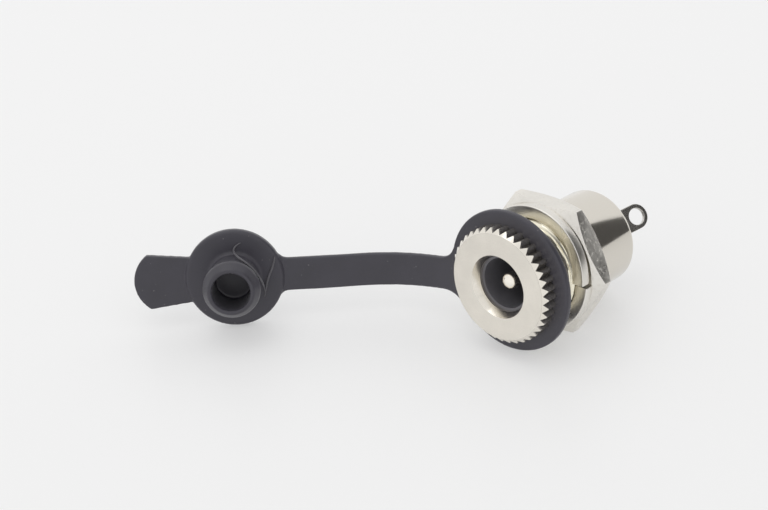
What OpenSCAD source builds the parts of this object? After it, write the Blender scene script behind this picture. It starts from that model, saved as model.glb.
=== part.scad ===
// Panel-mount DC power jack, 5.5 mm plug size, with a tethered rubber dust cap.
// The jack lies on its side as it comes to rest. The origin is on the jack's axis, where the
// sealing ring meets the panel. +Z is up and the jack's rear end points along +Y, a little down.

/* [Knurled head] */
// Diameter over the knurl's teeth
head_d = 14; // [13.4:0.1:15.6]
// Length of the head, from its face to its seat
head_l = 2; // [1.6:0.1:3]
// Size of the bevel round the face
head_bevel = 0.54; // [0.2:0.02:0.6]
// Number of teeth in the knurl
tooth_count = 40; // [30:1:48]
// Depth of each tooth
tooth_depth = 0.45; // [0.3:0.05:0.6]
// Diameter of the countersunk mouth
mouth_d = 7.64; // [7.2:0.04:8.4]
// Depth of the countersink
mouth_depth = 1; // [0.6:0.1:1.2]
// Diameter of the throat behind the countersink
throat_d = 6.7; // [6.3:0.1:7]
// Length of the throat
throat_l = 0.4; // [0.3:0.05:0.7]

/* [Barrel] */
// Whole length of the metal shell
shell_l = 18.4; // [17.5:0.1:22]
// Diameter of the threaded length, at half the thread's depth
thread_d = 11.6; // [11.4:0.1:12]
// Length of the threaded part, from the head's seat
thread_l = 9.4; // [8.6:0.2:11]
// Bevel at the thread's end
thread_bevel = 0.14; // [0.05:0.01:0.2]
// Diameter of the smooth rear barrel
barrel_d = 11.4; // [10.8:0.1:11.5]
// Bore of the shell
shell_bore_d = 9.4; // [9:0.1:9.8]
// Radius of the rolled rear rim
rim_round = 0.6; // [0.3:0.05:0.8]
// Thickness of the lip rolled over the rear disc
lip_t = 0.6; // [0.4:0.1:1]
// Opening inside the rolled lip
lip_d = 8.5; // [8.3:0.1:8.7]

/* [Insulators] */
// Gap between the insulators and the shell
insulator_gap = 0.05; // [0.02:0.01:0.1]
// Bore for the plug
cavity_d = 6.1; // [5.8:0.1:6.3]
// Depth of the plug's bore, from the housing's front
cavity_l = 8.9; // [8.5:0.1:10]
// Thickness of the housing's rear wall
housing_wall = 3.5; // [2.5:0.5:4]
// Thickness of the rear disc
rear_disc_t = 1.5; // [1:0.1:2]

/* [Contacts] */
// Diameter of the centre pin
pin_d = 2; // [1.6:0.05:2.5]
// Distance from the head's face back to the pin's tip
pin_set_back = 1.6; // [1.4:0.1:3]
// Height of the pin's rounded tip
pin_dome = 0.6; // [0.4:0.05:0.9]
// Diameter of the pin's riveted tail
tail_d = 1.3; // [1:0.1:1.4]
// Diameter of the rivet head on the tail
rivet_d = 2; // [1.8:0.1:2.1]
// Thickness of the contact strips and their lugs
strip_t = 0.4; // [0.3:0.05:0.5]
// Width of the spring strip inside the housing
spring_w = 2.2; // [1.6:0.1:2.6]
// Distance of the spring's bulge from the axis
spring_touch = 2.75; // [2.6:0.05:2.9]
// Width of each solder lug
lug_w = 3; // [2.6:0.1:3.6]
// Diameter of the hole in each solder lug
lug_hole_d = 2; // [1.6:0.1:2.2]
// Distance along a lug from the rear rim to its hole
lug_reach = 3; // [2.5:0.1:5]
// Angle that the lugs are bent outward
lug_splay = 17; // [0:1:30]
// Distance from the axis to the middle of the sleeve contact's lug
sleeve_lug_r = 3.4; // [3.3:0.05:3.5]
// Distance from the axis to the middle of the pin's lug
pin_lug_r = 1.5; // [1.4:0.05:1.8]
// Turn of the lugs about the axis, from level
lug_turn = 34; // [0:1:90]

/* [Nut and washer] */
// Width of the nut across its flats
nut_af = 15.35; // [14.8:0.05:16]
// Thickness of the nut
nut_l = 2.6; // [2:0.1:3]
// Angle of the nut's corner bevels
nut_bevel = 30; // [20:5:35]
// Diameter at the face where the nut's bevels start
nut_face_d = 15; // [14.4:0.1:15.2]
// Gap between the thread and the nut
nut_gap = 0.05; // [0.02:0.01:0.1]
// Distance from the panel seat to the nut
nut_z = 4.9; // [3.8:0.1:5.2]
// Outer diameter of the split washer
washer_d = 15.3; // [14.5:0.1:15.6]
// Bore of the split washer
washer_bore_d = 12.2; // [12.2:0.1:12.6]
// Thickness of the split washer
washer_t = 1.2; // [0.8:0.1:1.4]
// How far the split washer's free end springs forward
washer_lift = 0.7; // [0.4:0.1:1.2]
// Turn over which the free end rises
washer_rise = 110; // [60:10:180]
// Turn of the split above level
washer_split = 0; // [-60:1:60]
// Angle that the split takes up
washer_slot = 4; // [2:1:8]

/* [Dust cap] */
// Outer diameter of the sealing ring
ring_d = 17; // [16.4:0.1:18]
// Bore of the sealing ring
ring_bore_d = 12.1; // [12.1:0.05:12.6]
// Thickness of the sealing ring
ring_t = 0.85; // [0.7:0.05:1.2]
// Width of the strap
strap_w = 4; // [3:0.1:5]
// Thickness of the strap
strap_t = 0.8; // [0.5:0.05:0.85]
// Length of the strap, from the ring's edge to the disc's middle
strap_l = 28; // [24:0.1:34]
// Turn of the strap on its way to the disc
strap_turn = 42; // [0:1:60]
// Length over which the strap turns
strap_bend = 16; // [8:0.5:22]
// How far below level the strap leaves the ring
strap_droop = 13; // [0:1:16]
// Radius where the strap flows into the ring
ring_fillet = 3; // [1:0.25:4]
// Radius where the strap flows into the disc
disc_fillet = 1.2; // [0.5:0.1:2]
// Diameter of the cap's disc
disc_d = 11.7; // [10.6:0.1:12]
// Thickness of the cap's disc
disc_t = 1.3; // [1:0.1:2]
// Lean of the disc from upright
disc_lean = 15; // [6:1:22]
// Height of the hollow plug
plug_h = 6; // [4.8:0.1:7]
// Diameter of the plug's neck
plug_neck_d = 5.8; // [5.4:0.1:6.2]
// Diameter over the plug's bulge
plug_bulge_d = 6.84; // [6.5:0.02:7]
// Diameter of the plug's tip
plug_tip_d = 5.3; // [4.9:0.1:5.6]
// Bore of the plug
plug_bore_d = 4.5; // [3.6:0.1:4.5]
// Depth of the plug's bore
plug_bore_l = 5.2; // [3:0.1:5.4]
// Length of the pull tab, from the disc's middle
tab_l = 12; // [10:0.25:14]
// Width of the tab at the disc
tab_root_w = 5.3; // [4:0.1:5.6]
// Width of the tab at its corners
tab_w = 6.6; // [5.8:0.1:7.4]
// Radius of the tab's end
tab_end_r = 4; // [3.8:0.1:6]
// Thickness of the tab
tab_t = 0.9; // [0.6:0.05:1.1]

/* [Hidden] */
$fn = 96;
cut = 0.01;          // how far a cut runs past a face
fine_edge = 0.12;    // small broken edges
fit_gap = 0.02;      // gap round the pin's tail in the housing
slot_gap = 0.05;     // gap round a strip in its slot
knurl_start = -3.2;  // turn of the knurl's first tooth
spare = 0.2;         // how far the bevels' cutting shape stands out past the knurl's teeth
foot_w = 2.6;        // width of the pin lug's foot
rivet_t = 0.4;       // height of the rivet's head
rivet_bevel = 0.25;  // bevel of the rivet's head
nut_lead = 0.3;      // countersink of the nut's bore
lug_lap = 0.2;       // overlap of the spring strip and its lug
strip_tail = 0.8;    // how far the spring strip runs behind the housing
washer_steps = 72;
plug_root = 0.3;     // cove at the plug's foot
bulge_ease = 0.1;    // fall of the plug's bulge to either side
tab_lap = 0.6;       // how far the tab runs into the disc

// Stations along the jack's axis, from the panel seat to the rear.
seat_z = -ring_t;
face_z = seat_z - head_l;
rear_z = face_z + shell_l;
housing_z = face_z + mouth_depth + throat_l;
cavity_z = housing_z + cavity_l;
housing_end = cavity_z + housing_wall;
disc_end = rear_z - lip_t;
disc_z = disc_end - rear_disc_t;
thread_end = seat_z + thread_l;
tip_z = face_z + pin_set_back;
lug_end_r = lug_w / 2;

// The spring strip's path: how far out its middle runs, and how far back. It touches the plug
// at its bulge.
spring_front = housing_z + 1.6;
spring_bend = housing_z + 4.2;
spring_back = housing_z + 7.6;
spring_rest = sleeve_lug_r + 0.25;
spring_mid = spring_touch + strip_t / 2;
bulge_half = 0.7;
bulge_rise = 0.08;
spring_room = 0.6;
spring_path = [[spring_rest, spring_front],
               [spring_mid + bulge_rise, spring_bend - bulge_half],
               [spring_mid, spring_bend],
               [spring_mid + bulge_rise, spring_bend + bulge_half],
               [sleeve_lug_r, spring_back]];

// Radii about the jack's axis.
insulator_r = shell_bore_d / 2 - insulator_gap;
pin_r = pin_d / 2;
tail_r = tail_d / 2;

// The jack leans back on the sealing ring and the rear edge of the nut's lowest flat.
nut_edge_z = nut_z + nut_l - (nut_af - nut_face_d) / 2 * tan(nut_bevel);
tilt = atan((ring_d - nut_af) / 2 / nut_edge_z);
floor_z = -ring_d / 2 * cos(tilt);

// The strap starts inside the ring and ends inside the disc.
strap_root = ring_bore_d / 2 + 1.25;
strap_tip = disc_d / 2 - 1.5;
strap_run = ring_d / 2 - strap_root + strap_l;
strap_steps = 50;
disc_back = 0.45;    // how far the disc's back lies behind the strap's middle
disc_front = disc_t - disc_back;

function clamp01(k) = min(1, max(0, k));
function ease(k) = clamp01(k) * clamp01(k) * (3 - 2 * clamp01(k));
function unit(v) = v / norm(v);

// A point of the jack, across, rearward and up, in the part's frame.
function tilted(p) = [p.x, p.y * cos(tilt) + p.z * sin(tilt), p.z * cos(tilt) - p.y * sin(tilt)];

// The strap's middle line: its heading, its place over the floor and its height.
root_way = tilted([-cos(strap_droop), 0, -sin(strap_droop)]);
root_point = tilted([0, -ring_t / 2, 0]) + strap_root * root_way;
root_level = norm([root_way.x, root_way.y]);
root_slope = root_way.z / root_level;
root_heading = atan2(-root_way.y, -root_way.x);
disc_normal_z = sin(disc_lean);
disc_height = floor_z + disc_d / 2 * sqrt(1 - disc_normal_z ^ 2) + disc_back * disc_normal_z;
level_run = strap_run * root_level;
end_slope = 0.01;
function heading(s) = root_heading + (strap_turn - root_heading) * ease(s / strap_bend);
function level_step(s) = [-cos(heading(s)), -sin(heading(s))];
function level_at(s, steps = 60) = [root_point.x, root_point.y]
    + [for (i = [0.5:1:steps]) s / steps] * [for (i = [0.5:1:steps]) level_step(s * i / steps)];
function height_at(s) = let(k = s / level_run)
    (2 * k ^ 3 - 3 * k ^ 2 + 1) * root_point.z
    + (k ^ 3 - 2 * k ^ 2 + k) * level_run * root_slope
    + (3 * k ^ 2 - 2 * k ^ 3) * disc_height
    + (k ^ 3 - k ^ 2) * level_run * end_slope;
function point_at(s) = let(p = level_at(s)) [p.x, p.y, height_at(s)];
function slope_at(s) = (height_at(s + 0.05) - height_at(s - 0.05)) / 0.1;
function way_at(s) = let(d = level_step(s)) unit([d.x, d.y, slope_at(s)]);
function lean_at(s) = tilt + (disc_lean - tilt) * ease(s / level_run);
function side_at(s) = [sin(heading(s)), -cos(heading(s)), 0];
function rise_at(s) = let(w = way_at(s)) unit([0, 0, 1] - w.z * w);
function up_at(s) = cos(lean_at(s)) * rise_at(s) - sin(lean_at(s)) * side_at(s);
function out_at(s) = cos(lean_at(s)) * side_at(s) + sin(lean_at(s)) * rise_at(s);

// Half the strap's width, with its fillets into a round end of radius r, x from its middle.
function fillet_x(r, f) = sqrt((r + f) ^ 2 - (strap_w / 2 + f) ^ 2);
function flare(x, r, f) = let(far = fillet_x(r, f), near = far * r / (r + f))
    x >= far ? 0 : f - sqrt(f ^ 2 - (far - max(x, near)) ^ 2);
function half_width(s) = strap_w / 2 + flare(strap_root + s, ring_d / 2, ring_fillet)
    + flare(level_run - s, disc_d / 2, disc_fillet);

// Rounds and sections.
function arc(r, from, to, steps, centre = [0, 0]) =
    [for (i = [0:steps]) let(a = from + (to - from) * i / steps) centre + r * [cos(a), sin(a)]];
function broken_box(x0, x1, y0, y1, c) =
    [[x0 + c, y0], [x1 - c, y0], [x1, y0 + c], [x1, y1 - c],
     [x1 - c, y1], [x0 + c, y1], [x0, y1 - c], [x0, y0 + c]];

// Turns children drawn about Z, rear upward, into the lying jack.
module jack() {
    rotate([-tilt, 0, 0]) rotate([-90, 0, 0]) children();
}

// Turns children whose X points outward into the plane through the lugs.
module lug_plane() {
    rotate([0, 0, -lug_turn]) children();
}

// Sweeps one outline per station into a closed solid.
module sweep(rings) {
    n = len(rings[0]);
    last = len(rings) - 1;
    points = [for (ring = rings, p = ring) p];
    sides = [for (i = [0:last - 1], k = [0:n - 1], half = [0, 1])
        let(a = i * n + k, b = i * n + (k + 1) % n)
        half == 0 ? [a, b, b + n] : [a, b + n, a + n]];
    caps = [[for (k = [n - 1:-1:0]) k], [for (k = [0:n - 1]) last * n + k]];
    polyhedron(points, concat(sides, caps));
}

module knurl_outline() {
    tip = head_d / 2;
    root = tip - tooth_depth;
    pitch = 360 / tooth_count;
    polygon([for (i = [0:tooth_count - 1], half = [0, 1])
        let(a = knurl_start + (i + half / 2) * pitch)
        (half == 0 ? tip : root) * [cos(a), sin(a)]]);
}

module head() {
    r = head_d / 2;
    intersection() {
        translate([0, 0, face_z]) linear_extrude(head_l) knurl_outline();
        rotate_extrude()
            polygon([[0, face_z], [r - head_bevel, face_z],
                     [r + spare, face_z + head_bevel + spare],
                     [r + spare, seat_z - fine_edge - spare],
                     [r - fine_edge, seat_z], [0, seat_z]]);
    }
}

module shell() {
    r = thread_d / 2;
    rim_x = barrel_d / 2 - rim_round;
    mouth_x = mouth_d / 2 + cut * (mouth_d - throat_d) / 2 / mouth_depth;
    throat_x = throat_d / 2;
    bore_x = shell_bore_d / 2;
    lip_x = lip_d / 2;
    color("silver") jack() difference() {
        union() {
            head();
            rotate_extrude()
                polygon(concat(
                    [[0, face_z + head_bevel], [r, face_z + head_bevel],
                     [r, thread_end - thread_bevel], [barrel_d / 2, thread_end]],
                    arc(rim_round, 0, 90, 5, [rim_x, rear_z - rim_round]),
                    [[0, rear_z]]));
        }
        rotate_extrude()
            polygon([[0, face_z - cut], [mouth_x, face_z - cut],
                     [throat_x, face_z + mouth_depth], [throat_x, housing_z],
                     [bore_x, housing_z], [bore_x, disc_end],
                     [lip_x, disc_end], [lip_x, rear_z + cut], [0, rear_z + cut]]);
    }
}

module housing() {
    slot_w = spring_w + 2 * slot_gap;
    half_t = strip_t / 2 + slot_gap;
    slot_out = spring_rest + half_t + slot_gap;
    color([0.12, 0.12, 0.13]) jack() difference() {
        rotate_extrude()
            polygon([[tail_r + fit_gap, cavity_z], [cavity_d / 2, cavity_z],
                     [cavity_d / 2, housing_z], [insulator_r, housing_z],
                     [insulator_r, housing_end], [tail_r + fit_gap, housing_end]]);
        lug_plane() {
            translate([cavity_d / 4, -slot_w / 2, spring_front - spring_room])
                cube([slot_out - cavity_d / 4, slot_w, cavity_z - spring_front + spring_room]);
            translate([sleeve_lug_r - half_t, -slot_w / 2, cavity_z - cut])
                cube([2 * half_t, slot_w, housing_wall + 2 * cut]);
        }
    }
}

module rear_disc() {
    half_t = strip_t / 2 + slot_gap;
    slot_w = lug_w + 2 * slot_gap;
    color([0.16, 0.15, 0.14]) jack() difference() {
        translate([0, 0, disc_z]) cylinder(r = insulator_r, h = rear_disc_t);
        lug_plane() for (x = [sleeve_lug_r, -pin_lug_r])
            translate([x - half_t, -slot_w / 2, disc_z - cut])
                cube([2 * half_t, slot_w, rear_disc_t + 2 * cut]);
    }
}

// The pin's shoulder stands on the floor of the plug's bore, and its tail is riveted behind.
module centre_pin() {
    rivet_z = housing_end + strip_t;
    color("lightgray") jack() rotate_extrude()
        polygon(concat(
            [for (p = arc(1, -90, 0, 9)) [pin_r * p.x, tip_z + pin_dome * (1 + p.y)]],
            [[pin_r, cavity_z], [tail_r, cavity_z], [tail_r, rivet_z], [rivet_d / 2, rivet_z],
             [rivet_d / 2, rivet_z + rivet_t - rivet_bevel],
             [rivet_d / 2 - rivet_bevel, rivet_z + rivet_t], [0, rivet_z + rivet_t]]));
}

// A solder lug: a strip that stands rearward at distance x, is bent outward at the rear rim
// and ends in a round eye with a hole.
module lug(x, from_z, splay) {
    translate([x - strip_t / 2, -lug_w / 2, from_z]) cube([strip_t, lug_w, rear_z - from_z]);
    translate([x, 0, rear_z]) {
        rotate([90, 0, 0]) cylinder(d = strip_t, h = lug_w, center = true);
        rotate([0, splay, 0]) difference() {
            union() {
                translate([-strip_t / 2, -lug_w / 2, 0]) cube([strip_t, lug_w, lug_reach]);
                translate([-strip_t / 2, 0, lug_reach]) rotate([0, 90, 0])
                    cylinder(r = lug_end_r, h = strip_t);
            }
            translate([-strip_t, 0, lug_reach]) rotate([0, 90, 0])
                cylinder(d = lug_hole_d, h = 2 * strip_t);
        }
    }
}

module pin_lug() {
    color("lightgray") jack() lug_plane() {
        difference() {
            union() {
                translate([-pin_lug_r - strip_t / 2, -foot_w / 2, housing_end])
                    cube([pin_lug_r + strip_t / 2, foot_w, strip_t]);
                translate([0, 0, housing_end]) cylinder(d = foot_w, h = strip_t);
                lug(-pin_lug_r, housing_end, -lug_splay);
            }
            translate([0, 0, housing_end - cut]) cylinder(r = tail_r + fit_gap, h = strip_t + 2 * cut);
        }
    }
}

module sleeve_contact() {
    t = strip_t / 2;
    color("lightgray") jack() lug_plane() union() {
        rotate([90, 0, 0]) linear_extrude(spring_w, center = true)
            polygon(concat(
                [for (p = spring_path) p + [t, 0]],
                [[sleeve_lug_r + t, housing_end + strip_tail],
                 [sleeve_lug_r - t, housing_end + strip_tail]],
                [for (i = [len(spring_path) - 1:-1:0]) spring_path[i] - [t, 0]]));
        lug(sleeve_lug_r, housing_end + strip_tail - lug_lap, lug_splay);
    }
}

module hex_nut() {
    face_r = nut_face_d / 2;
    corner_r = nut_af / sqrt(3);
    drop = (corner_r - face_r) * tan(nut_bevel);
    bore_r = thread_d / 2 + nut_gap;
    color("silver") jack() translate([0, 0, nut_z]) difference() {
        intersection() {
            cylinder(r = corner_r, h = nut_l, $fn = 6);
            rotate_extrude()
                polygon([[0, 0], [face_r, 0], [corner_r, drop], [corner_r, nut_l - drop],
                         [face_r, nut_l], [0, nut_l]]);
        }
        translate([0, 0, -cut]) cylinder(r = bore_r, h = nut_l + 2 * cut);
        for (side = [0, 1]) translate([0, 0, side * nut_l]) mirror([0, 0, side])
            translate([0, 0, -cut]) cylinder(r1 = bore_r + nut_lead + cut, r2 = bore_r, h = nut_lead + cut);
    }
}

// The split washer lies on the nut, and its free end springs forward at the split.
module lock_washer() {
    turn = 360 - washer_slot;
    section = broken_box(washer_bore_d / 2, washer_d / 2, -washer_t, 0, fine_edge);
    color("silver") jack() sweep([for (i = [0:washer_steps])
        let(a = i * turn / washer_steps,
            lift = washer_lift * (1 - clamp01(a / washer_rise)) ^ 2,
            dir = -(washer_split + washer_slot / 2 + a))
        [for (p = section) [p.x * cos(dir), p.x * sin(dir), nut_z + p.y - lift]]]);
}

module cap_ring() {
    rotate_extrude()
        polygon(broken_box(ring_bore_d / 2, ring_d / 2, -ring_t, 0, fine_edge));
}

module strap() {
    stop = level_run - strap_tip;
    sweep([for (i = [0:strap_steps])
        let(s = stop * i / strap_steps, w = half_width(s))
        [for (p = broken_box(-w, w, -strap_t / 2, strap_t / 2, fine_edge))
            point_at(s) + p.x * up_at(s) + p.y * out_at(s)]]);
}

module disc_and_plug() {
    r = disc_d / 2;
    neck = plug_neck_d / 2;
    bulge = plug_bulge_d / 2;
    tip = plug_tip_d / 2;
    bore = plug_bore_d / 2;
    edge = 2 * fine_edge;
    root = disc_front + plug_root;
    top = disc_front + plug_h;
    rotate_extrude()
        polygon([[0, -disc_back], [r - edge, -disc_back],
                 [r, edge - disc_back], [r, disc_front - edge],
                 [r - edge, disc_front], [neck + plug_root, disc_front],
                 [neck, root], [neck, disc_front + 0.5 * plug_h],
                 [bulge - bulge_ease, disc_front + 0.7 * plug_h],
                 [bulge, disc_front + 0.76 * plug_h],
                 [bulge - bulge_ease / 2, disc_front + 0.82 * plug_h],
                 [tip + fine_edge, top - fine_edge], [tip, top],
                 [bore + fine_edge, top], [bore, top - fine_edge],
                 [bore, top - plug_bore_l], [0, top - plug_bore_l]]);
}

module tab() {
    corner = asin(tab_w / 2 / tab_end_r);
    root_x = sqrt((disc_d / 2) ^ 2 - (tab_root_w / 2) ^ 2) - tab_lap;
    translate([0, 0, -tab_t / 2]) linear_extrude(tab_t)
        polygon(concat([[root_x, -tab_root_w / 2]],
            arc(tab_end_r, -corner, corner, 12, [tab_l - tab_end_r, 0]),
            [[root_x, tab_root_w / 2]]));
}

// Carries children to the strap's end: X on along the strap, Z out of the disc's plug side.
module at_disc() {
    p = point_at(level_run);
    x = way_at(level_run);
    y = -up_at(level_run);
    z = out_at(level_run);
    multmatrix([[x.x, y.x, z.x, p.x], [x.y, y.y, z.y, p.y], [x.z, y.z, z.z, p.z], [0, 0, 0, 1]])
        children();
}

module dust_cap() {
    color([0.2, 0.2, 0.22]) union() {
        jack() cap_ring();
        strap();
        at_disc() {
            disc_and_plug();
            tab();
        }
    }
}

shell();
housing();
rear_disc();
centre_pin();
pin_lug();
sleeve_contact();
hex_nut();
lock_washer();
dust_cap();
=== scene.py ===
"""Looks of a panel-mount barrel jack with a tethered rubber dust cap."""

import math

import bmesh
import bpy
from bpy.props import FloatProperty, FloatVectorProperty, IntProperty, PointerProperty
from mathutils import Matrix, Vector


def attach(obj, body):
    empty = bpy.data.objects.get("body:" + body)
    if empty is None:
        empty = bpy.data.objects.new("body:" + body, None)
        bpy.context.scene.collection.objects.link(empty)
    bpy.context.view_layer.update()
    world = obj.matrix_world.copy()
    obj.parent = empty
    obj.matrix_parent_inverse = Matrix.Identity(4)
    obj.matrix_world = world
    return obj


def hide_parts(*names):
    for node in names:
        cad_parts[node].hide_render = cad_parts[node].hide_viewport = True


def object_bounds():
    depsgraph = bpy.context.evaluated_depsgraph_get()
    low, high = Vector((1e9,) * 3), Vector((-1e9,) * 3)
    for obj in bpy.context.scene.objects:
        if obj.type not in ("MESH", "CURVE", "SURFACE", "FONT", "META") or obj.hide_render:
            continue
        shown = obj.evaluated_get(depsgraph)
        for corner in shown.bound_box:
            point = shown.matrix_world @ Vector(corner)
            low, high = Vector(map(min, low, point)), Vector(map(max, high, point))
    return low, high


bl_info = {
    "name": "Barrel jack with dust cap",
    "version": (1, 0, 0),
    "blender": (4, 5, 0),
    "location": "3D View > Sidebar > Barrel Jack",
    "description": "Dresses the packed barrel jack: turned shell, nut, washer, contacts and rubber cap",
    "category": "Object",
}

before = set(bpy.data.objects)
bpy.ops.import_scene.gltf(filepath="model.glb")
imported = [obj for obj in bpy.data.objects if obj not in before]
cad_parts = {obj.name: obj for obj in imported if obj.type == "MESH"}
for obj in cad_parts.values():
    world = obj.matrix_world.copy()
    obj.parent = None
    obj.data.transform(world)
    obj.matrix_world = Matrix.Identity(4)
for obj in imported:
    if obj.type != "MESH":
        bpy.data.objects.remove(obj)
cad_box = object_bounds()

MM = 0.001
HAIR = 0.02 * MM  # a step too small to see, at the edge of a zone or a rounding
WELD = 1e-7  # vertices nearer to each other than this become one
BODY = "root"
TOOTH_STEPS = 6  # vertices that the turned body has to each tooth
THREAD_ROWS = 151  # rows of vertices along the thread


# ---------------------------------------------------------------- sizes and colours

def length(name, description, size):
    return FloatProperty(name=name, description=description, default=size * MM,
                         min=0, unit="LENGTH", precision=5)


def length_signed(name, description, size):
    return FloatProperty(name=name, description=description, default=size * MM,
                         unit="LENGTH", precision=5)


def turn(name, description, degrees):
    return FloatProperty(name=name, description=description,
                         default=math.radians(degrees), subtype="ANGLE")


def tint(name, description, colour):
    return FloatVectorProperty(name=name, description=description, default=colour,
                               subtype="COLOR", size=3, min=0, max=1)


def share(name, description, value):
    return FloatProperty(name=name, description=description, default=value,
                         min=0, max=1, subtype="FACTOR")


class ShellSizes(bpy.types.PropertyGroup):
    """Sizes of the turned shell, as the solids have them"""

    tilt: turn("Lean", "How far the jack's axis leans down to the rear", 6.362319684276191)
    head_d: length("Head", "Diameter over the knurl's teeth", 14)
    head_l: length("Head length", "From the face to the seat", 2)
    head_bevel: length("Head bevel", "Bevel round the face", 0.54)
    tooth_count: IntProperty(name="Teeth", description="Teeth in the knurl", default=40, min=12)
    tooth_depth: length("Tooth depth", "Depth of each tooth", 0.45)
    tooth_turn: turn("First tooth", "Turn of the first tooth", -3.2)
    mouth_d: length("Mouth", "Diameter of the countersink", 7.64)
    mouth_depth: length("Countersink", "Depth of the countersink", 1)
    throat_d: length("Throat", "Diameter of the throat", 6.7)
    throat_l: length("Throat length", "Length of the throat", 0.4)
    mouth_round: length("Mouth edge", "Rounding of the countersink's outer edge", 0.07)
    throat_round: length("Throat edge", "Rounding of the throat's front edge", 0.04)
    throat_end_round: length("Throat end", "Rounding of the throat's rear edge", 0.03)
    tooth_foot: length("Tooth foot", "Flat that the face and the seat keep inside the teeth", 0.1)
    seat: length("Ring", "Thickness of the sealing ring under the head", 0.85)
    shell_l: length("Shell length", "Whole length of the shell", 18.4)
    thread_crest_d: length("Thread crest", "Diameter over the thread", 11.98)
    thread_root_d: length("Thread root", "Diameter at the thread's root", 11.26)
    thread_l: length("Thread length", "Threaded length from the seat", 9.4)
    thread_pitch: length("Thread pitch", "Distance between the thread's turns", 0.75)
    barrel_d: length("Barrel", "Diameter of the smooth rear barrel", 11.4)
    barrel_round: length("Barrel edge", "Rounding of the barrel's front edge", 0.05)
    bore_d: length("Bore", "Bore of the shell", 9.4)
    rim_round: length("Rim", "Radius of the rolled rim", 0.6)
    lip_t: length("Lip", "Thickness of the rolled lip", 0.6)
    lip_d: length("Lip opening", "Opening inside the rolled lip", 8.5)
    lip_round: length("Lip edge", "Rounding of the lip's inner edge", 0.12)
    pin_d: length("Pin", "Diameter of the centre pin", 2)
    pin_set_back: length("Pin tip", "From the face back to the pin's tip", 1.6)
    pin_dome: length("Pin dome", "Height of the pin's rounded tip", 0.6)
    cavity_l: length("Plug bore", "Depth of the plug's bore behind the throat", 8.9)
    housing_wall: length("Housing wall", "Thickness of the housing's rear wall", 3.5)
    tail_d: length("Pin tail", "Diameter of the pin's riveted tail", 1.3)
    rivet_d: length("Rivet", "Diameter of the rivet's head", 2)
    rivet_t: length("Rivet thickness", "Thickness of the rivet's head", 0.4)
    rivet_bevel: length("Rivet bevel", "Bevel round the rivet's head", 0.25)
    strip_t: length("Strip", "Thickness of the contact strips", 0.4)
    strip_round: length("Strip edge", "Rounding of the strips' stamped edges", 0.05)
    fine_edge: length("Fine edge", "Break of the teeth's rear edges", 0.12)


class FastenerSizes(bpy.types.PropertyGroup):
    """Sizes of the nut and the split washer"""

    nut_af: length("Nut", "Width across the nut's flats", 15.35)
    nut_l: length("Nut thickness", "Thickness of the nut", 2.6)
    nut_face_d: length("Nut face", "Diameter where the corner bevels start", 15)
    nut_bevel: turn("Nut bevel", "Angle of the corner bevels", 30)
    nut_bore_d: length("Nut bore", "Bore of the nut", 11.7)
    nut_lead: length("Nut lead", "Countersink of the nut's bore", 0.3)
    nut_corner: length("Nut corner", "Rounding of the nut's six corners", 0.16)
    nut_z: length("Nut place", "From the panel seat to the nut", 4.9)
    edge_round: length("Edge", "Rounding of the tumbled edges", 0.1)
    washer_d: length("Washer", "Outer diameter of the washer", 15.3)
    washer_bore_d: length("Washer bore", "Bore of the washer", 12.2)
    washer_t: length("Washer thickness", "Thickness of the washer", 1.2)
    washer_lift: length("Washer spring", "Spring of the washer's free end", 0.7)
    washer_rise: turn("Washer rise", "Turn over which the free end rises", 110)
    washer_split: turn("Washer split", "Turn of the split above level", 0)
    washer_slot: turn("Washer slot", "Angle that the split takes up", 4)


class CapSizes(bpy.types.PropertyGroup):
    """Sizes and place of the dust cap's disc, and the fineness of its skin"""

    disc_x: length_signed("Disc X", "Place of the disc's middle across the jack", -30.82)
    disc_y: length_signed("Disc Y", "Place of the disc's middle along the jack", -14.65)
    disc_d: length("Disc", "Diameter of the disc", 11.7)
    disc_t: length("Disc thickness", "Thickness of the disc", 1.3)
    disc_back: length("Disc back", "How far the disc's back lies behind its middle", 0.45)
    disc_turn: turn("Disc heading", "Turn of the strap where it meets the disc", 42)
    disc_lean: turn("Disc lean", "Lean of the disc from upright", 15)
    skin: length("Skin", "Fineness of the moulded skin", 0.13)
    wisp: length("Wisp", "Thickness of the loose flash on the disc", 0.3)


class Finishes(bpy.types.PropertyGroup):
    """Colours and gloss of the surfaces, and the stage's light"""

    nickel: tint("Nickel", "Nickel plating", (0.825, 0.785, 0.712))
    thread: tint("Thread", "Warmer plating in the thread", (0.94, 0.89, 0.73))
    # painted shade laid into the knurl's valleys
    valley_shade: tint("Painted shade", "Grime in the valleys of the knurl", (0.09, 0.088, 0.088))
    steel: tint("Plated steel", "Plating of the nut and the washer", (0.81, 0.785, 0.735))
    contact: tint("Contacts", "Tinned contact strips", (0.60, 0.58, 0.55))
    rubber: tint("Rubber", "Dark grey rubber", (0.0415, 0.039, 0.0505))
    flash: tint("Flash", "Loose flash on the rubber", (0.095, 0.091, 0.102))
    dust: tint("Dust", "Specks of dust on the rubber", (0.35, 0.34, 0.33))
    plastic: tint("Plastic", "Black plastic", (0.125, 0.122, 0.135))
    fibre: tint("Fibre", "Rear insulating disc", (0.040, 0.035, 0.030))
    floor: tint("Floor", "Pale floor of a light box", (0.46, 0.46, 0.46))
    floor_glow: share("Floor glow", "Light that the floor gives off by itself", 0.395)
    sky: share("Sky", "Strength of the even white light all round", 0.93)
    face_rough: share("Face roughness", "Roughness of the satin face", 0.38)
    barrel_rough: share("Barrel roughness", "Roughness of the polished barrel", 0.09)
    nickel_rough: share("Nickel roughness", "Roughness of the other plating", 0.17)
    nut_rough: share("Nut roughness", "Roughness of the nut", 0.32)
    rubber_rough: share("Rubber roughness", "Roughness of the rubber", 0.40)


# ---------------------------------------------------------------- node helpers

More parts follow.
